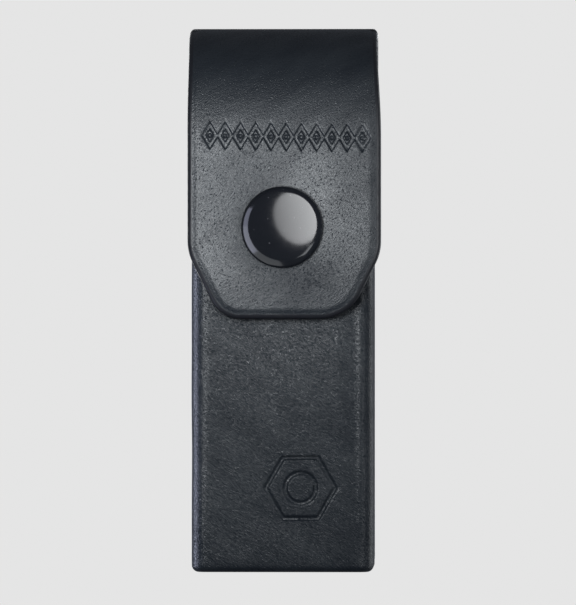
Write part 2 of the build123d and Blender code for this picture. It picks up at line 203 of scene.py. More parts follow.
def unevenness(points, height, size, seed):
    """Smooth rises and falls of up to height at each point, about size across."""
    offset = Vector((seed * 7.3, seed * 1.7, seed * 3.1))
    return height * np.array([noise.noise(Vector(p) / size + offset) for p in points])


Stretch = namedtuple("Stretch", "start place heading bend")  # start is a length, bend 1 / radius


class Route:
    """Straight runs joined by arcs in the (y, z) plane, measured by length. The pieces are a run, an
    arc, a run and so on; a bend is above 0 where it turns to the left."""

    def __init__(self, points, radii):
        points = [np.array(p, float) for p in points]
        self.pieces = []
        start, place = 0.0, points[0]
        for before, corner, after, radius in zip(points, points[1:], points[2:], radii):
            into, out = corner - before, after - corner
            turn = np.arctan2(into[0] * out[1] - into[1] * out[0], into @ out)
            setback = radius * np.tan(abs(turn) / 2)
            heading = np.arctan2(into[1], into[0])
            run = np.linalg.norm(corner - place) - setback
            self.pieces.append(Stretch(start, place, heading, 0.0))
            start, place = start + run, place + run * np.array((cos(heading), sin(heading)))
            self.pieces.append(Stretch(start, place, heading, np.sign(turn) / radius))
            start += abs(turn) * radius
            heading += turn
            place = corner + setback * np.array((cos(heading), sin(heading)))
        out = points[-1] - place
        self.pieces.append(Stretch(start, place, np.arctan2(out[1], out[0]), 0.0))
        self.length = start + np.linalg.norm(out)

    def at(self, lengths):
        """Points and outward normals, which are to the right of the route's direction."""
        points, normals = np.zeros((len(lengths), 2)), np.zeros((len(lengths), 2))
        starts = np.array([piece.start for piece in self.pieces])
        which = np.clip(np.searchsorted(starts, lengths, side="right") - 1, 0, None)
        for index, (start, place, heading, bend) in enumerate(self.pieces):
            mine = which == index
            along = lengths[mine] - start
            angle = heading + bend * along
            if bend:
                step = np.stack((np.sin(angle) - sin(heading), cos(heading) - np.cos(angle)), 1) / bend
            else:
                step = along[:, None] * np.array((cos(heading), sin(heading)))
            points[mine] = place + step
            normals[mine] = np.stack((np.sin(angle), -np.cos(angle)), 1)
        return points, normals


def shares(points):
    """How far along a line each of its points lies, from 0 to 1."""
    steps = np.linalg.norm(np.diff(points, axis=0), axis=1)
    return np.concatenate(([0], np.cumsum(steps))) / steps.sum()


def patch(bottom, top, left, right):
    """Rows and columns of points that fill the space between four sides."""
    v = (shares(left) + shares(right))[:, None, None] / 2
    u = (1 - v) * shares(bottom)[None, :, None] + v * shares(top)[None, :, None]
    across = (1 - u) * left[:, None] + u * right[:, None]
    along = (1 - v) * bottom[None] + v * top[None]
    corners = (1 - u) * (1 - v) * bottom[0] + u * (1 - v) * bottom[-1]
    corners = corners + (1 - u) * v * top[0] + u * v * top[-1]
    return across + along - corners


def grid_quads(rows, columns):
    """Faces of a grid of points, turned so that (row direction) x (column direction) is outward."""
    j, i = np.meshgrid(np.arange(rows - 1), np.arange(columns - 1), indexing="ij")
    a = (j * columns + i).ravel()
    return np.stack((a, a + columns, a + columns + 1, a + 1), 1)


# ---------------- materials
def new_material(name):
    made = bpy.data.materials.new(name)
    made.use_nodes = True
    return made, made.node_tree.nodes["Principled BSDF"]


def node(tree, kind, settings=None, **inputs):
    """A shader node. An input is named, or n0, n1 and so on for its number. It is given a value, or an
    (other node, output) pair."""
    made = tree.nodes.new("ShaderNode" + kind)
    for key, value in (settings or {}).items():
        setattr(made, key, value)
    for key, value in inputs.items():
        plug(tree, made, key.replace("_", " "), value)
    return made


def plug(tree, made, key, value):
    """Gives a node's input a value, or links it to another node's output."""
    numbered = key[0] == "n" and key[1:].isdigit()
    socket = made.inputs[int(key[1:]) if numbered else key]
    if isinstance(value, tuple) and isinstance(value[0], bpy.types.Node):
        tree.links.new(value[0].outputs[value[1]], socket)
    else:
        socket.default_value = value


def maths(tree, how, a, b):
    """The output of a Math node."""
    return (node(tree, "Math", {"operation": how}, n0=a, n1=b), 0)


def spread(tree, value, low, high, new_low, new_high):
    """value, carried from the range low to high onto the range new_low to new_high."""
    return (node(tree, "MapRange", n0=value, n1=low, n2=high, n3=new_low, n4=new_high), 0)


def two_tones(tree, value, low, high):
    """A colour between low and high, as value goes from 0 to 1."""
    made = node(tree, "ValToRGB", n0=value)
    made.color_ramp.elements[0].color = (*low, 1)
    made.color_ramp.elements[1].color = (*high, 1)
    return (made, 0)


def sheet_coordinates(tree, turn=0.0, stretch=(1, 1, 1)):
    """A place on the leather in millimetres, which stays with it when it bends. What is drawn with it
    is turned, and stretched along the turned axes."""
    place = node(tree, "Attribute", {"attribute_name": "sheet"})
    mapping = node(
        tree,
        "Mapping",
        {"vector_type": "TEXTURE"},
        Vector=(place, "Vector"),
        Rotation=(0, turn, 0),
        Scale=tuple(s * MM for s in stretch),
    )
    return (mapping, 0)


def grain_leather(name, polish, contrast, depth, roughness, shaded_place=None):
    """Black grain leather. polish is the strength of its sheen, which handling raises, contrast how
    much the sheen varies over the grain, and depth how deep the grain is. roughness is from the
    grain's low parts to its rubbed high parts. Round the place given last, the sheen is dimmed as
    painted shade: the shade below the snap, where its dent and cap shade the leather."""
    made, shader = new_material(name)
    tree = made.node_tree
    diagonal = sheet_coordinates(tree, radians(35), (2.1, 1, 0.7))
    plain = sheet_coordinates(tree)
    hairs = node(tree, "TexNoise", Vector=diagonal, Scale=2.9, Detail=3.0, Roughness=0.65)
    creases = node(tree, "TexNoise", Vector=diagonal, Scale=0.6, Detail=2.0, Roughness=0.5)
    pores = node(tree, "TexVoronoi", Vector=plain, Scale=1.9)
    pits = spread(tree, (pores, 0), 0.05, 0.3, 1.0, 0.0)
    lumps = node(tree, "TexNoise", Vector=diagonal, Scale=0.16, Detail=3.0)
    height = maths(tree, "ADD", (hairs, 0), maths(tree, "MULTIPLY", (creases, 0), 0.55))
    height = maths(tree, "SUBTRACT", height, maths(tree, "MULTIPLY", pits, 0.5))
    bump = node(tree, "Bump", Height=height, Strength=0.8, Distance=depth)
    tone = spread(tree, (lumps, 0), 0.3, 0.7, 0.0, 1.0)
    colour = two_tones(tree, tone, (0.0072, 0.0095, 0.0130), (0.0110, 0.0140, 0.0176))
    plug(tree, shader, "Base Color", colour)
    worn = spread(tree, (hairs, 0), 0.33, 0.67, polish * (1 - contrast), polish * (1 + contrast))
    shine = maths(tree, "SUBTRACT", worn, maths(tree, "MULTIPLY", pits, polish * 0.6))
    shine = maths(tree, "MULTIPLY", shine, spread(tree, (lumps, 0), 0.3, 0.7, 0.82, 1.18))
    if shaded_place:
        # painted shade: the sheen falls to 0.45 near the given place below the snap, a dark patch
        # standing in for the shade of the snap's dent and cap
        sheet = node(tree, "Attribute", {"attribute_name": "sheet"})
        away = node(tree, "VectorMath", {"operation": "DISTANCE"}, n0=(sheet, "Vector"), n1=shaded_place)
        shade_dimming = spread(tree, (away, "Value"), 3 * MM, 13 * MM, 0.45, 1.0)
        shine = maths(tree, "MULTIPLY", shine, shade_dimming)
    plug(tree, shader, "Specular IOR Level", shine)
    plug(tree, shader, "Roughness", spread(tree, (hairs, 0), 0.3, 0.7, *roughness))
    plug(tree, shader, "Normal", (bump, 0))
    return made


def painted_edge():
    """The strap's cut edges, sealed with a glossy paint."""
    made, shader = new_material("painted_edge")
    tree = made.node_tree
    place = sheet_coordinates(tree)
    waves = node(tree, "TexNoise", Vector=place, Scale=0.7, Detail=3.0)
    bump = node(tree, "Bump", Height=(waves, 0), Strength=0.25, Distance=0.12 * MM)
    shader.inputs["Base Color"].default_value = (0.006, 0.0065, 0.009, 1)
    plug(tree, shader, "Roughness", spread(tree, (waves, 0), 0.3, 0.7, 0.34, 0.48))
    plug(tree, shader, "Normal", (bump, 0))
    return made


def flesh_leather():
    """The sueded inner face."""
    made, shader = new_material("flesh_leather")
    tree = made.node_tree
    place = sheet_coordinates(tree)
    fibres = node(tree, "TexNoise", Vector=place, Scale=3.2, Detail=5.0, Roughness=0.7, Distortion=0.6)
    clumps = node(tree, "TexNoise", Vector=place, Scale=0.35, Detail=3.0)
    height = maths(tree, "ADD", (fibres, 0), (clumps, 0))
    bump = node(tree, "Bump", Height=height, Strength=0.8, Distance=0.18 * MM)
    tone = spread(tree, (fibres, 0), 0.3, 0.75, 0.0, 1.0)
    plug(tree, shader, "Base Color", two_tones(tree, tone, (0.012, 0.012, 0.013), (0.045, 0.043, 0.042)))
    shader.inputs["Roughness"].default_value = 0.92
    shader.inputs["Specular IOR Level"].default_value = 0.25
    shader.inputs["Sheen Weight"].default_value = 0.15
    plug(tree, shader, "Normal", (bump, 0))
    return made


def gloss_enamel():
    """The cap's enamel, with a slight orange peel and a few specks of dust."""
    made, shader = new_material("gloss_enamel")
    tree = made.node_tree
    place = (node(tree, "TexCoord"), "Object")
    orange_peel = node(tree, "TexNoise", Vector=place, Scale=900.0, Detail=2.0)
    dust = node(tree, "TexVoronoi", Vector=place, Scale=620.0)
    bump = node(tree, "Bump", Height=(orange_peel, 0), Strength=0.04, Distance=0.05 * MM)
    specks = spread(tree, (dust, 0), 0.0, 0.12, 1.0, 0.0)
    colour = two_tones(tree, specks, (0.0028, 0.0033, 0.0045), (0.05, 0.05, 0.055))
    plug(tree, shader, "Base Color", colour)
    plug(tree, shader, "Roughness", spread(tree, (orange_peel, 0), 0.3, 0.7, 0.14, 0.17))
    plug(tree, shader, "Normal", (bump, 0))
    return made


def plated_metal(name, colour, roughness):
    """Snap metal, with the fine marks of a press and some handling."""
    made, shader = new_material(name)
    tree = made.node_tree
    place = (node(tree, "TexCoord"), "Object")
    marks = node(tree, "TexNoise", Vector=place, Scale=900.0, Detail=2.0)
    stain = node(tree, "TexNoise", Vector=place, Scale=260.0, Detail=2.0)
    bump = node(tree, "Bump", Height=(marks, 0), Strength=0.08, Distance=0.02 * MM)
    tarnished = [c * 0.72 for c in colour]
    tone = spread(tree, (stain, 0), 0.35, 0.7, 0.0, 1.0)
    plug(tree, shader, "Base Color", two_tones(tree, tone, tarnished, colour))
    shader.inputs["Metallic"].default_value = 1.0
    plug(tree, shader, "Roughness", spread(tree, (marks, 0), 0.3, 0.7, roughness, roughness + 0.1))
    plug(tree, shader, "Normal", (bump, 0))
    return made


def waxed_thread():
    """Black thread with slanting strands."""
    made, shader = new_material("waxed_thread")
    tree = made.node_tree
    place = (node(tree, "TexCoord"), "Object")
    fuzz = node(tree, "TexNoise", Vector=place, Scale=7000.0, Detail=3.0)
    strands = node(
        tree, "TexWave", {"bands_direction": "DIAGONAL"}, Vector=place, Scale=420.0, Distortion=0.6
    )
    height = maths(tree, "ADD", (strands, 1), maths(tree, "MULTIPLY", (fuzz, 0), 0.4))
    bump = node(tree, "Bump", Height=height, Strength=0.7, Distance=0.08 * MM)
    colour = two_tones(tree, (strands, 1), (0.008, 0.008, 0.010), (0.030, 0.031, 0.036))
    plug(tree, shader, "Base Color", colour)
    shader.inputs["Roughness"].default_value = 0.48
    shader.inputs["Sheen Weight"].default_value = 0.1
    plug(tree, shader, "Normal", (bump, 0))
    return made


# ---------------- leather sheets
def boundary_of(quads):
    """The directed edges that only one face has."""
    edges = np.concatenate([quads[:, (k, (k + 1) % 4)] for k in range(4)])
    known = set(map(tuple, edges.tolist()))
    return np.array([e for e in edges.tolist() if (e[1], e[0]) not in known])


def leather_sheet(name, grain, outer, normals, quads, place, lift, thickness, edge, cut=None):
    """A closed sheet. outer, normals and place hold a point, an outward normal and a texture place for
    each grid point; lift moves the outer face; cut marks the end that is cut flat, which gets no
    rounded edge. The grain face comes first, then the flesh face and the rows of the edge."""
    rim = boundary_of(quads)
    outward = np.zeros_like(outer)
    for a, b in rim:
        side = np.cross(outer[b] - outer[a], normals[a] + normals[b])
        side /= np.linalg.norm(side)
        outward[a] += side
        outward[b] += side
    lengths = np.linalg.norm(outward, axis=1, keepdims=True)
    outward = np.divide(outward, lengths, out=outward, where=lengths > 0)
    if cut is not None:
        outward[cut == CUT] = 0
        corners = cut == CUT_CORNER
        outward[corners] = np.sign(outer[corners][:, :1]) * (1.0, 0.0, 0.0)
    members = np.unique(rim)
    slot_of = {vertex: index for index, vertex in enumerate(members)}
    count = len(outer)

    def layer(turn, which):
        """The chosen points, turned round the edge by an angle from 0 at the grain face to pi."""
        height, reach = cos(turn), sin(turn)
        up = (height - 1) * thickness / 2 + lift[which] * (1 + height) / 2
        return outer[which] + normals[which] * up[:, None] + outward[which] * edge * reach

    everything = np.arange(count)
    points = [layer(0, everything), layer(pi, everything)]
    places = [place, place + (0, thickness, 0)]
    for step in range(1, EDGE_STEPS):
        turn = pi * step / EDGE_STEPS
        points.append(layer(turn, members))
        reach = outward[members] * edge * sin(turn)
        places.append(place[members] + reach + (0, thickness * turn / pi, 0))

    def rim_index(step, vertex):
        if step == 0:
            return vertex
        if step == EDGE_STEPS:
            return count + vertex
        return 2 * count + (step - 1) * len(members) + slot_of[vertex]

    rim_faces = [
        (rim_index(k, b), rim_index(k, a), rim_index(k + 1, a), rim_index(k + 1, b))
        for a, b in rim
        for k in range(EDGE_STEPS)
    ]
    faces = quads.tolist() + (quads[:, ::-1] + count).tolist() + rim_faces
    slots = [GRAIN_FACE] * len(quads) + [FLESH_FACE] * len(quads) + [PAINTED_FACE] * len(rim_faces)
    mesh = bpy.data.meshes.new(name)
    mesh.from_pydata(np.concatenate(points).tolist(), [], faces)
    mesh.polygons.foreach_set("material_index", slots)
    attribute = mesh.attributes.new("sheet", "FLOAT_VECTOR", "POINT")
    attribute.data.foreach_set("vector", np.concatenate(places).astype(np.float32).ravel())
    for material in (grain, PAINT, FLESH):
        mesh.materials.append(material)
    return finished(name, mesh)


def finished(name, mesh, sharp=radians(50)):
    """Smooth shading apart from real corners, and the object for a mesh."""
    mesh.polygons.foreach_set("use_smooth", [True] * len(mesh.polygons))
    mesh.set_sharp_from_angle(angle=sharp)
    mesh.validate()
    made = bpy.data.objects.new(name, mesh)
    bpy.context.scene.collection.objects.link(made)
    return made


def turned_down(flat, quads):
    """1 at a sheet's edge, falling to 0 over a short way in. The end at the split doesn't count."""
    rim = flat[np.unique(boundary_of(quads))]
    rim = rim[rim[:, 1] > SPLIT + 0.1 * MM]
    nearest = [np.min(np.hypot(*(rim - point).T)) for point in flat]
    return (1 - smoothstep(np.array(nearest), 0, TURN_WIDTH)) ** 2


def along_route(route, flat):
    """Where a flat sheet's (x, length) points come when it follows a route, and their normals."""
    points, normals = route.at(flat[:, 1])
    outer = np.column_stack((flat[:, 0], points))
    return outer, np.column_stack((np.zeros(len(flat)), normals))


def corner_arc(corner, radius, into, out, steps, first, last):
    """Points on the arc that rounds a corner, from share first to share last of its turn."""
    into, out = np.array(into, float), np.array(out, float)
    turn = np.arctan2(into[0] * out[1] - into[1] * out[0], into @ out)
    setback = radius * np.tan(abs(turn) / 2)
    side = np.sign(turn) * np.array((-into[1], into[0]))
    centre = np.array(corner) - into * setback + side * radius
    start = -side
    ahead = np.array((-start[1], start[0]))
    angles = np.linspace(first, last, steps)[:, None] * turn
    return centre + radius * (start * np.cos(angles) + ahead * np.sin(angles))


def square_end(half, low, radius, columns):
    """The lower end of a straight strip: the part of its left corner that belongs to the left side,
    from the bottom up, and the line along the rest of the end, from left to right."""
    corner = (-half, low)
    beside = corner_arc(corner, radius, (0, -1), (1, 0), CORNER_STEPS, 0, 0.5)[::-1]
    below = corner_arc(corner, radius, (0, -1), (1, 0), CORNER_STEPS, 0.5, 1)[:-1]
    level = np.column_stack((columns, np.full(len(columns), low)))
    return beside, np.concatenate((below, level, (below * (-1, 1))[::-1]))


def cut_marks(grid, row):
    """Marks for a grid of points that has one row along an end that is cut flat."""
    marks = np.zeros(grid.shape[:2], int)
    marks[row] = CUT
    marks[row, (0, -1)] = CUT_CORNER
    return marks.ravel()


# ---------------- the strap's route, on its outer face
def strap_route():
    """Up the back, over the top and down the front, to the flap's curled end."""
    tight, easy = FRONT_FOLD_RADII
    steep = pi / 2 - EASED_TURN
    between = tight * np.tan(steep / 2) + easy * np.tan(EASED_TURN / 2)
    shoulder_y = FLAP_FACE + between * cos(steep)
    shoulder_z = TOP_Z - between * sin(steep)
    return Route(
        [
            (PANEL_HIGH.y, 0),
            (PANEL_HIGH.y, TOP_Z),
            (shoulder_y, TOP_Z),
            (FLAP_FACE, shoulder_z),
            (FLAP_FACE, CURL_Z),
            (FLAP_FACE + CURL, FLAP_END_Z),
        ],
        [BACK_FOLD_RADIUS, tight, easy, CURL_RADIUS],
    )


STRAP_ROUTE = strap_route()
LEVEL_RUN, FLAP_RUN = STRAP_ROUTE.pieces[2], STRAP_ROUTE.pieces[6]  # across the top, and down the front
SPLIT = LEVEL_RUN.start + 6 * MM  # where the two lengths of strap meet, on top
SPLIT_CALM = 8 * MM  # its unevenness fades in over this far from there


def flap_length(z):
    """Length along the strap's route at a height on the flap."""
    return FLAP_RUN.start + FLAP_RUN.place[1] - z


def away_from_split(s):
    """0 where the two lengths of strap meet, rising to 1 a little way off."""
    return smoothstep(np.abs(s - SPLIT), 0, SPLIT_CALM)


# ---------------- the materials, once the route has given the place of the painted shade
PAINTED_SHADE_PLACE = (3.0 * MM, 0, flap_length(61.0 * MM))  # below the snap, where the sheen is dimmed as painted shade
# the straps' leather gets a stronger sheen than the pouch's (polish 0.54 against 0.30): partly real
# polish from handling, partly painted light that makes the flap brighter than the pouch below it
POLISH_AND_PAINTED_SHEEN_GRAIN = grain_leather(
    "polish_and_painted_sheen_leather", polish=0.54, contrast=0.28, depth=0.13 * MM, roughness=(0.44, 0.35),
    shaded_place=PAINTED_SHADE_PLACE
)
GRAIN = grain_leather(
    "grain_leather", polish=0.30, contrast=0.6, depth=0.15 * MM, roughness=(0.34, 0.26)
)
PAINT, FLESH = painted_edge(), flesh_leather()
ENAMEL = gloss_enamel()
NICKEL = plated_metal("nickel_plate", (0.52, 0.51, 0.49), roughness=0.26)
BRASS = plated_metal("snap_brass", (0.62, 0.47, 0.24), roughness=0.28)
SPRING = plated_metal("spring_wire", (0.50, 0.50, 0.51), roughness=0.3)
THREAD = waxed_thread()


# ---------------- back panel
def seam_dents(x, z, seam_x, low, high):
    """The groove of an upright seam from low to high, and the dents at its holes."""
    near, far = GROOVE_RUN_OUT
    inside = smoothstep(z, low - far, low - near) * (1 - smoothstep(z, high + near, high + far))
    groove = pressed(np.abs(x - seam_x), *GROOVE) * inside
    from_hole = np.abs((z - low + STITCH / 2) % STITCH - STITCH / 2)
    return GROOVE_DEPTH * groove * (0.75 + 0.9 * pressed(from_hole, *HOLE))


def back_panel():
    """The length of strap from the bottom of the back to the split on top."""
    half, low, radius = PANEL_HALF - EDGE, EDGE, PANEL_CORNER_RADIUS - EDGE / 2
    seam_columns = [(s * SIDE_SEAM_X - 0.8 * MM, s * SIDE_SEAM_X + 0.8 * MM, 0.2 * MM) for s in (-1, 1)]
    columns = stations(radius - half, half - radius, 1.0 * MM, *seam_columns)
    floor_seam_rows = (FLOOR_SEAM_Z - 0.8 * MM, FLOOR_SEAM_Z + 0.8 * MM, 0.2 * MM)
    rows = stations(low + radius, SPLIT, 0.55 * MM, floor_seam_rows)

    def width(s):
        flare = smoothstep(s, *PANEL_FLARE_Z)
        return half + flare * (TOP_HALF - PANEL_HALF)

    beside, bottom = square_end(half, low, radius, columns)
    left = np.concatenate((beside[:-1], np.column_stack((-width(rows), rows))))
    top = np.column_stack((shares(bottom) * 2 - 1, np.full(len(bottom), SPLIT)))
    top[:, 0] *= width(SPLIT)
    grid = patch(bottom, top, left, left * (-1, 1))
    flat = grid.reshape(-1, 2)
    outer, normals = along_route(STRAP_ROUTE, flat)
    x, s = flat.T
    place = np.column_stack((x, np.zeros(len(x)), s))
    lift = unevenness(place, height=0.05 * MM, size=14 * MM, seed=1) * away_from_split(s)
    for seam_x in (-SIDE_SEAM_X, SIDE_SEAM_X):
        lift -= seam_dents(x, s, seam_x, *SIDE_SEAM_Z)
    lift -= seam_dents(s, x, FLOOR_SEAM_Z, -FLOOR_SEAM_HALF, FLOOR_SEAM_HALF)
    quads, cut = grid_quads(*grid.shape[:2]), cut_marks(grid, -1)
    return leather_sheet(
        "back_strap", POLISH_AND_PAINTED_SHEEN_GRAIN, outer, normals, quads, place, lift, STRAP, EDGE, cut
    )


# ---------------- flap
def lozenge_row(x, z):
    """A row of pressed lozenge outlines, each with a pressed dot in its middle."""
    depth = np.zeros(len(x))
    wide, tall = LOZENGE_HALF
    for k in range(LOZENGES):
        dx = x - LOZENGE_X - (k - (LOZENGES - 1) / 2) * LOZENGE_PITCH
        dz = z - BAND_Z - BAND_SLOPE * x
        steep = wide * tall / sqrt(wide**2 + tall**2)
        from_line = np.abs((np.abs(dx) / wide + np.abs(dz) / tall - 1) * steep)
        depth = np.maximum(depth, pressed(from_line, LINE_HALF))
        depth = np.maximum(depth, pressed(np.hypot(dx, dz), *DOT))
    return PRESS_DEPTH * depth


def creases(x, z):
    """Fine slanting creases below the snap, where the flap is pulled."""
    depth = np.zeros(len(x))
    for ends in CREASES:
        (x1, z1), (x2, z2) = np.array(ends) * MM
        along = np.array((x2 - x1, z2 - z1))
        share = np.clip(((x - x1) * along[0] + (z - z1) * along[1]) / (along @ along), 0, 1)
        from_line = np.hypot(x - x1 - share * along[0], z - z1 - share * along[1])
        depth = np.maximum(depth, pressed(from_line, *CREASE_SHAPE) * np.sin(pi * share) ** 0.5)
    return CREASE_DEPTH * depth


def flap_half(z):
    """Half the flap's width above its slant."""
    return FLAP_HIGH.x + (TOP_HALF - FLAP_HIGH.x) * smoothstep(z, WIDEST_Z, TOP_Z)


def flap():
    """The length of strap from the split on top to the flap's lower end."""
    end = STRAP_ROUTE.length - EDGE
    slant = np.array((END_HALF - FLAP_HIGH.x, -(SLANT_Z - FLAP_END_Z)))
    slant /= np.linalg.norm(slant)
    inset = EDGE / abs(slant[1])  # how far the slanting side moves in, measured across
    foot = END_HALF - EDGE * (1 - abs(slant[0])) / abs(slant[1])  # where it meets the inset end
    shoulder_s = flap_length(SLANT_Z)
    half = FLAP_HIGH.x - EDGE
    lozenge_rows = (flap_length(BAND_Z + 3.2 * MM), flap_length(BAND_Z - 3.6 * MM), 0.16 * MM)

    def outline(side, corner_radius):
        """One side from the split down to the middle of the lower corner, then the end's part."""
        down, level = (0, 1), (-1, 0)
        sloping = (slant[0], -slant[1])
        shoulder = (half, shoulder_s + (inset - EDGE) * 0.5)
        turn = corner_arc(shoulder, SHOULDER_RADIUS, down, sloping, 9, 0, 1)
        rows = stations(SPLIT, turn[0][1], 0.75 * MM, lozenge_rows)
        # a height by length along the strap, so that the width eases over the fold too
        run_z = TOP_Z - np.clip(rows - flap_length(TOP_Z - 2 * MM), 0, None)
        upper = np.column_stack((flap_half(run_z) - EDGE, rows))
        corner = (foot, end)
        radius = corner_radius - EDGE
        lower = corner_arc(corner, radius, sloping, level, 12, 0, 0.5)
        rest = corner_arc(corner, radius, sloping, level, 16, 0.5, 1)
        sloped = np.linspace(turn[-1], lower[0], 12)
        line = np.concatenate((upper[:-1], turn[:-1], sloped[:-1], lower))
        return line * (side, 1), rest * (side, 1)

    right, right_end = outline(1, RIGHT_CORNER_RADIUS)
    left, left_end = outline(-1, LEFT_CORNER_RADIUS)
    straight = np.linspace(left_end[-1], right_end[-1], FLAP_COLUMNS)
    bottom = np.concatenate((left_end[:-1], straight, right_end[-2::-1]))
    top = np.linspace(left[0], right[0], len(bottom))
    grid = patch(top, bottom, left, right)
    flat = grid.reshape(-1, 2)
    x, s = flat.T
    z = FLAP_RUN.start + FLAP_RUN.place[1] - s
    quads, cut = grid_quads(*grid.shape[:2]), cut_marks(grid, 0)
    place = np.column_stack((x, np.zeros(len(x)), s))
    askew_x = x + FLAP_ASKEW * (1 - smoothstep(z, WIDEST_Z - 4 * MM, TOP_Z + 6 * MM))
    lift = unevenness(place, height=0.13 * MM, size=15 * MM, seed=1) * away_from_split(s)
    lift -= DIMPLE * np.exp(-((askew_x / DIMPLE_WIDTH) ** 2) - ((z - SNAP_Z) / DIMPLE_HEIGHT) ** 2)
    lift -= FLAP_DISH * (1 - (x / TOP_HALF) ** 2) * smoothstep(-z, -TOP_Z, -WIDEST_Z)
    lift -= lozenge_row(askew_x, z) + creases(askew_x, z) + TURN_DOWN * turned_down(flat, quads)
    outer, normals = along_route(STRAP_ROUTE, np.column_stack((askew_x, s)))
    return leather_sheet(
        "flap_strap", POLISH_AND_PAINTED_SHEEN_GRAIN, outer, normals, quads, place, lift, STRAP, EDGE, cut
    )


# ---------------- pouch
def hexagon_emblem(x, z):
    """A pressed hexagon outline round a pressed ring, like a nut seen from above."""
    dx, dz = x - EMBLEM[0], z - EMBLEM[1]
    flats = [np.abs(dx * cos(radians(a)) + dz * sin(radians(a))) for a in (30, 90, 150)]
    from_hexagon = np.abs(np.max(flats, axis=0) - HEX_RADIUS)
    from_ring = np.abs(np.hypot(dx, dz) - RING_RADIUS)
    lines = np.maximum(pressed(from_hexagon, LINE_HALF), pressed(from_ring, LINE_HALF))
    return PRESS_DEPTH * lines


def pouch_outline():
    """The pouch's outline from above, anticlockwise from the middle of its front left corner, with
    outward normals, and the number of points on the front and on each side."""
    half, front, back, radius = POUCH_HIGH.x, POUCH_LOW.y, POUCH_HIGH.y, POUCH_EDGE_RADIUS
    run = half - radius
    emblem_reach = HEX_RADIUS + 1.4 * MM
    emblem_columns = (EMBLEM[0] - emblem_reach, EMBLEM[0] + emblem_reach, PRESSED_STEP)
    front_x = stations(-run, run, 0.8 * MM, emblem_columns)
    flange_x = np.linspace(WINDOW_HALF, run, 7)
    middle_count = len(front_x) - 2 * len(flange_x)
    middle_x = np.linspace(-WINDOW_HALF, WINDOW_HALF, middle_count + 2)[1:-1]
    back_x = np.concatenate((-flange_x[::-1], middle_x, flange_x))
    side_y = np.linspace(front + radius, back - radius, 16)
    points, normals = [], []

    def arc(x, y, first, last):
        for angle in np.linspace(radians(first), radians(last), POUCH_EDGE_STEPS):
            add((x + radius * cos(angle), y + radius * sin(angle)), (cos(angle), sin(angle)))

    def add(point, normal):
        if not points or np.hypot(*np.subtract(point, points[-1])) > 1e-6:
            points.append(point)
            normals.append(normal)

    arc(-run, front + radius, 225, 270)
    for x in front_x:
        add((x, front), (0, -1))
    arc(run, front + radius, 270, 315)
    across = len(points)
    arc(run, front + radius, 315, 360)
    for y in side_y:
        add((half, y), (1, 0))
    arc(run, back - radius, 0, 45)
    deep = len(points) - across + 1
    arc(run, back - radius, 45, 90)
    for x in back_x[::-1]:
        add((x, back), (0, 1))
    arc(-run, back - radius, 90, 135)
    arc(-run, back - radius, 135, 180)
    for y in side_y[::-1]:
        add((-half, y), (-1, 0))
    arc(-run, front + radius, 180, 225)
    return np.array(points[:-1]), np.array(normals[:-1]), across, deep


def scoop_dip(outline):
    """How far the mouth's scoop, an arc in the front, lowers the rim at each point of the outline."""
    radius = (SCOOP_HALF**2 + SCOOP**2) / (2 * SCOOP)
    on_front = outline[:, 1] < POUCH_LOW.y + 0.1 * MM
    reach = np.clip(np.abs(outline[:, 0]), 0, SCOOP_HALF)
    return np.where(on_front, SCOOP - radius + np.sqrt(radius**2 - reach**2), 0)


def pouch_wall(outline, sideways):
    """The pouch's rounded lower edge and its wall: points in rings from the floor to the mouth, their
    normals, and faces."""
    count, radius = len(outline), POUCH_FLOOR_RADIUS
    rings, normals = [], []
    for turn in np.linspace(0, pi / 2, 7)[:-1]:
        inset, z = radius * (1 - sin(turn)), radius * (1 - cos(turn))
        rings.append(np.column_stack((outline - sideways * inset, np.full(count, z))))
        normals.append(np.column_stack((sideways * sin(turn), np.full(count, -cos(turn)))))
    emblem_reach = HEX_RADIUS + 2.4 * MM
    emblem_rows = (EMBLEM[1] - emblem_reach, EMBLEM[1] + emblem_reach, PRESSED_STEP)
    lower_rows = stations(radius, SILL_Z, 0.8 * MM)
    upper_rows = stations(SILL_Z, MOUTH_Z, 0.9 * MM, emblem_rows)[1:]
    dip = scoop_dip(outline)
    for z in np.concatenate((lower_rows, upper_rows)):
        share = max(z - SCOOP_START_Z, 0) / (MOUTH_Z - SCOOP_START_Z)
        rings.append(np.column_stack((outline, z - dip * share)))
        normals.append(np.column_stack((sideways, np.zeros(count))))
    points = np.concatenate(rings)

    j, i = np.meshgrid(np.arange(len(rings) - 1), np.arange(count), indexing="ij")
    here, after = j * count + i, j * count + (i + 1) % count
    quads = np.stack((here, after, after + count, here + count), -1).reshape(-1, 4)
    x, y, z = points[quads].mean(axis=1).T
    window = (y > POUCH_HIGH.y - 0.01 * MM) & (np.abs(x) < WINDOW_HALF) & (z > SILL_Z)
    return points, np.concatenate(normals), quads[~window]


def pouch_floor(ring, across, deep, first):
    """The floor, which shares its border with the lowest ring: the points inside the border, and faces
    that number those points from first."""
    near = ring[:across]
    far = ring[across + deep - 2 : 2 * across + deep - 2][::-1]
    right = ring[across - 1 : across + deep - 1]
    left = np.concatenate((ring[:1], ring[2 * across + deep - 3 :][::-1]))
    inside = patch(near, far, left, right)[1:-1, 1:-1].reshape(-1, 2)
    indices = np.zeros((deep, across), int)
    indices[1:-1, 1:-1] = first + np.arange(len(inside)).reshape(deep - 2, across - 2)
    indices[0] = np.arange(across)
    indices[:, -1] = across - 1 + np.arange(deep)
    indices[-1] = (across + deep - 2 + np.arange(across))[::-1]
    indices[1:, 0] = len(ring) - np.arange(1, deep)
    corners = indices[:-1, :-1], indices[1:, :-1], indices[1:, 1:], indices[:-1, 1:]
    quads = np.stack(corners, -1).reshape(-1, 4)
    return np.column_stack((inside, np.zeros(len(inside)))), quads


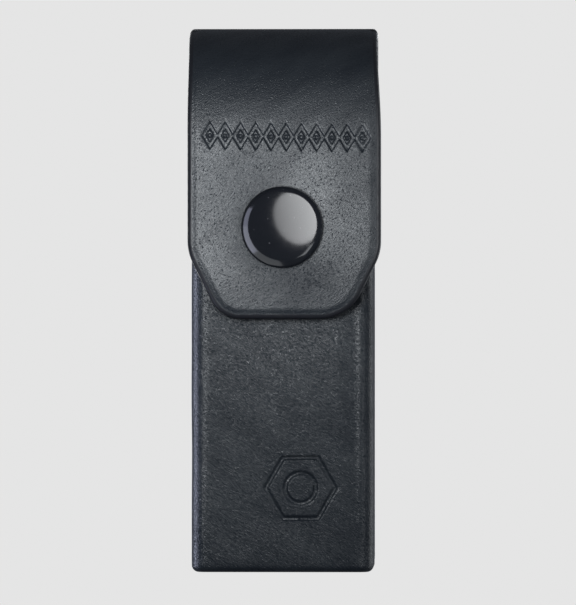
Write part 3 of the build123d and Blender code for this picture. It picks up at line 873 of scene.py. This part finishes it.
def pouch():
    """The moulded front, sides, flanges and floor, in one leather."""
    outline, sideways, across, deep = pouch_outline()
    wall, wall_normals, wall_quads = pouch_wall(outline, sideways)
    floor, floor_quads = pouch_floor(wall[: len(outline), :2], across, deep, len(wall))
    outer = np.concatenate((wall, floor))
    normals = np.concatenate((wall_normals, np.tile((0.0, 0.0, -1.0), (len(floor), 1))))
    quads = np.concatenate((wall_quads, floor_quads))

    x, y, z = outer.T
    facing_out = smoothstep(POUCH_HIGH.y - y, 1 * MM, 4 * MM) * smoothstep(z, 0.5 * MM, 4 * MM)
    on_front = y < POUCH_LOW.y + 0.05 * MM
    hollow = POUCH_DISH * (1 - (x / (POUCH_HIGH.x - POUCH_EDGE_RADIUS)) ** 2)
    hollow += RIGHT_EASE * smoothstep(x, *RIGHT_EASE_X)
    lift = unevenness(outer, height=0.14 * MM, size=17 * MM, seed=5) * facing_out
    lift -= hexagon_emblem(x, z) * on_front
    lift -= hollow * smoothstep(z, 2 * MM, 12 * MM) * on_front
    return leather_sheet(
        "moulded_pouch", GRAIN, outer, normals, quads, outer, lift, LEATHER, THIN_EDGE
    )


# ---------------- belt loop
def belt_loop():
    """A strip with both ends sewn to the back, and its middle standing off it."""
    on_back, off_back = PANEL_HIGH.y + LEATHER, LOOP_HIGH.y
    low, high = LOOP_LOW.z + THIN_EDGE, LOOP_HIGH.z - THIN_EDGE
    route = Route(
        [
            (on_back, low),
            (on_back, LOOP_LOW.z + LOOP_TAB),
            (off_back, LOOP_LOW.z + LOOP_TAB + LOOP_RISE),
            (off_back, LOOP_HIGH.z - LOOP_TAB - LOOP_RISE),
            (on_back, LOOP_HIGH.z - LOOP_TAB),
            (on_back, high),
        ],
        [LOOP_BEND_RADIUS] * 4,
    )
    half, radius, length = LOOP_HIGH.x - THIN_EDGE, LOOP_CORNER_RADIUS, route.length
    detour = length - (high - low)
    seams = [z - low if z < 50 * MM else z - low + detour for z in LOOP_ROWS_Z]
    seam_rows = [(s - 0.9 * MM, s + 0.9 * MM, 0.22 * MM) for s in seams]
    rows = stations(radius, length - radius, 0.8 * MM, *seam_rows)
    columns = stations(radius - half, half - radius, 0.5 * MM)
    beside, bottom = square_end(half, 0, radius, columns)
    side = np.column_stack((np.full(len(rows), -half), rows))
    beside_top = (beside * (1, -1) + (0, length))[::-1]
    left = np.concatenate((beside[:-1], side, beside_top[1:]))
    grid = patch(bottom, bottom * (1, -1) + (0, length), left, left * (-1, 1))
    flat = grid.reshape(-1, 2)
    outer, normals = along_route(route, flat)
    x, s = flat.T
    place = np.column_stack((x + LOOP_SHEET_X, np.zeros(len(x)), s))
    lift = unevenness(place, height=0.06 * MM, size=12 * MM, seed=2)
    for seam in seams:
        lift -= seam_dents(s, x, seam, -LOOP_ROW_HALF, LOOP_ROW_HALF)
    quads = grid_quads(*grid.shape[:2])
    return leather_sheet(
        "belt_loop_strip", GRAIN, outer, normals, quads, place, lift, LEATHER, THIN_EDGE
    )


# ---------------- snap cap
def snap_cap():
    """A domed, enamelled cap turned from its profile, with a sloping shoulder. It sits a little askew,
    so that the shoulder shows more at the lower left."""
    radius, rise = (CAP_HIGH.x - CAP_LOW.x) / 2, CAP_HIGH.y - CAP_LOW.y
    crown, sides = CAP_CROWN_RADIUS, CAP_SIDES
    dome = [(r, rise - crown + sqrt(crown**2 - r**2)) for r in np.linspace(0, CAP_DOME_RADIUS, 22)]
    r, h = dome[-1]
    shoulder = [(r + out * MM, h - down * MM) for out, down in CAP_SHOULDER]
    rim, underside = CAP_SKIRT
    skirt = [
        (radius, h - CAP_SHOULDER_FALL),
        (radius, -rim),
        (radius - 0.2 * MM, -underside),
        (radius - 1.2 * MM, -underside),
    ]
    profile = dome + shoulder + skirt
    vertices = []
    for r, h in profile:
        shift = CAP_ASKEW * max(h, 0) / rise
        for k in range(sides if r > 0 else 1):
            angle = 2 * pi * k / sides
            x, z = shift + r * cos(angle), SNAP_Z + shift + r * sin(angle)
            vertices.append((x, CAP_HIGH.y - h, z))
    faces = [(0, 1 + k, 1 + (k + 1) % sides) for k in range(sides)]
    for ring in range(len(profile) - 2):
        first = 1 + ring * sides
        for k in range(sides):
            after = (k + 1) % sides
            faces.append((first + k, first + sides + k, first + sides + after, first + after))
    last = 1 + (len(profile) - 2) * sides
    faces.append(tuple(range(last, last + sides)))
    mesh = bpy.data.meshes.new("snap_cap_dome")
    mesh.from_pydata(vertices, [], faces)
    mesh.materials.append(ENAMEL)
    return finished("snap_cap_dome", mesh, radians(60))


# ---------------- assembly
def assemble():
    """Makes the pieces, bakes the two lengths of strap where they lie and puts the pouch, the belt
    loop and the cap on their bodies. Returns the leather, metal and thread pieces and the cap."""
    panel = back_panel()
    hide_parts("back_panel")
    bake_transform(panel)
    front = flap()
    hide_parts("top_strap", "flap")
    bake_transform(front)
    shell = pouch()
    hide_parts("pouch_shell")
    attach(shell, "pouch")
    strip = belt_loop()
    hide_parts("belt_loop")
    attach(strip, "pouch")
    cap = snap_cap()
    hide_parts("snap_cap")
    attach(cap, "flap")
    leather = [panel, front, shell, strip]
    finishes = {
        "snap_cap_post": BRASS,
        "snap_socket": NICKEL,
        "snap_spring_right": SPRING,
        "snap_spring_left": SPRING,
        "snap_stud": NICKEL,
        "snap_stud_eyelet": BRASS,
    }
    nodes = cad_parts
    threads = [name for name in nodes if name.endswith("thread")]
    finishes.update({name: THREAD for name in threads})
    for name, finish in finishes.items():
        nodes[name].data.materials.clear()
        nodes[name].data.materials.append(finish)
    metal = [nodes[name] for name in finishes if name not in threads]
    return leather, metal, [nodes[name] for name in threads], cap


# ---------------- stage, lights and camera
SNAP_AT = (0, -19, 71)  # in mm, as the lights' aims are
SHEATH_MIDDLE = (0, 0, 56)
PAPER = 0.783  # how bright the floor and backdrop look
COOL = (0.93, 0.97, 1.0)
NEAR_WHITE = (0.97, 0.985, 1.0)
LAVENDER = (0.74, 0.78, 1.0)


def stage():
    """A pale floor, as bright as the room behind it. It glows evenly and lights nothing."""
    reach = 8.0
    vertices = [(-reach, -reach, 0), (reach, -reach, 0), (reach, reach, 0), (-reach, reach, 0)]
    mesh = bpy.data.meshes.new("studio_floor")
    mesh.from_pydata(vertices, [], [(0, 1, 2, 3)])
    made, shader = new_material("pale_paper")
    shader.inputs["Base Color"].default_value = (0, 0, 0, 1)
    shader.inputs["Roughness"].default_value = 0.9
    shader.inputs["Specular IOR Level"].default_value = 0.0
    shader.inputs["Emission Color"].default_value = (1, 1, 1, 1)
    shader.inputs["Emission Strength"].default_value = PAPER
    mesh.materials.append(made)
    floor = finished("studio_floor", mesh)
    floor.visible_glossy = False
    floor.visible_diffuse = False
    floor.visible_shadow = False


def softbox(
    name, azimuth, elevation, distance, size, watts, colour=COOL, roll=0, aim=SHEATH_MIDDLE, on=(),
    shape="RECTANGLE", fade=None
):
    """An area light that faces aim. Azimuth 0 is in front, 90 to the right. It shines only on the
    pieces in on, or on everything when that is empty. fade is its strength at its two ends."""
    target = Vector(aim) * MM
    a, e = radians(azimuth), radians(elevation)
    back = Vector((sin(a) * cos(e), -cos(a) * cos(e), sin(e)))
    light = bpy.data.lights.new(name, "AREA")
    light.shape = shape
    light.size, light.size_y = size
    light.energy = watts
    light.color = colour
    if fade:
        light.use_nodes = True
        tree = light.node_tree
        where = node(tree, "SeparateXYZ", Vector=(node(tree, "NewGeometry"), "Parametric"))
        plug(tree, tree.nodes["Emission"], "Strength", spread(tree, (where, 0), 0.0, 1.0, *fade))
    made = bpy.data.objects.new(name, light)
    turn = back.to_track_quat("Z", "Y").to_matrix().to_4x4()
    rolled = Matrix.Rotation(radians(roll), 4, "Z")
    made.matrix_world = Matrix.Translation(target + back * distance) @ turn @ rolled
    made.visible_camera = False
    bpy.context.scene.collection.objects.link(made)
    if on:
        lit = bpy.data.collections.new(name + "_on")
        for piece in on:
            lit.objects.link(piece)
        made.light_linking.receiver_collection = lit


def lights(leather, metal, threads, cap):
    """Area lights, most of them kept to the pieces that they were placed for, in a dim room that the
    camera sees as bright as the floor."""
    panel, front, shell, strip = leather
    softbox("key", 24, 0, 0.42, (0.30, 0.26), 0.22, aim=(0, 0, 66), on=leather)
    softbox("metal_key", 24, 30, 0.5, (0.4, 0.3), 0.8, on=metal)
    softbox("flap_sheen", 0, -2, 0.12, (0.04, 0.04), 0.12, aim=(-28, 0, 78), on=leather)
    softbox("side_sheen", -12, 2, 0.16, (0.06, 0.06), 0.07, aim=(-15, 0, 76), on=leather)
    softbox("corner_sheen", 42, 2, 0.5, (0.1, 0.3), 0.5, on=leather)
    softbox("edge_sheen", -72, -32, 0.5, (0.2, 0.2), 0.3, LAVENDER, aim=(0, 0, 60), on=[front])
    softbox("left_strip", -97, 5, 0.7, (0.22, 0.8), 7.0, LAVENDER, on=[shell])
    softbox("right_fill", 122, 0, 0.8, (0.5, 0.6), 1.6)
    behind = [panel, strip, front] + metal + threads
    softbox("back_fill", 180, -2, 0.9, (0.7, 0.4), 2.2, on=behind)
    softbox("back_left", -150, 0, 0.9, (0.4, 0.4), 1.5, (1, 1, 1), on=behind)
    snap = {"aim": SNAP_AT, "on": [cap]}
    softbox(
        "snap_key", 20.5, 13.5, 0.45, (0.62, 0.70), 8.2, NEAR_WHITE, 6,
        shape="ELLIPSE", fade=(0.5, 1.6), **snap
    )
    softbox("snap_low", -104, -44, 0.35, (0.7, 0.7), 1.8, **snap)
    softbox("snap_left", -84, -6, 0.35, (0.3, 0.5), 1.5, LAVENDER, **snap)
    softbox("snap_corner", 55, -40, 0.4, (0.2, 0.2), 0.4, **snap)
    world = bpy.data.worlds.new("studio")
    bpy.context.scene.world = world
    world.use_nodes = True
    tree = world.node_tree
    tree.nodes.clear()
    light_path = node(tree, "LightPath")
    room = node(tree, "Background", Color=(0.115, 0.125, 0.145, 1), Strength=1.0)
    pale = node(tree, "Background", Color=(PAPER, PAPER, PAPER, 1), Strength=1.0)
    choice = node(tree, "MixShader", n0=(light_path, "Is Camera Ray"), n1=(room, 0), n2=(pale, 0))
    output = tree.nodes.new("ShaderNodeOutputWorld")
    tree.links.new(choice.outputs[0], output.inputs["Surface"])


def camera():
    """Nearly square on, a little to the right, filling the frame from just above to just below."""
    distance, azimuth = 1.6, radians(1.5)
    frame_height = 123.8 * MM
    aim = Vector((1.3 * MM, FLAP_LOW.y, 55.4 * MM))
    data = bpy.data.cameras.new("camera")
    data.sensor_width = 36
    data.lens = 36 * distance / frame_height
    made = bpy.data.objects.new("camera", data)
    back = Vector((sin(azimuth), -cos(azimuth), 0))
    made.location = aim + back * distance
    made.rotation_mode = "QUATERNION"
    made.rotation_quaternion = back.to_track_quat("Z", "Y")
    bpy.context.scene.collection.objects.link(made)
    bpy.context.scene.camera = made


leather, metal, threads, cap = assemble()
stage()
lights(leather, metal, threads, cap)
camera()
bpy.context.scene.view_settings.view_transform = "Standard"
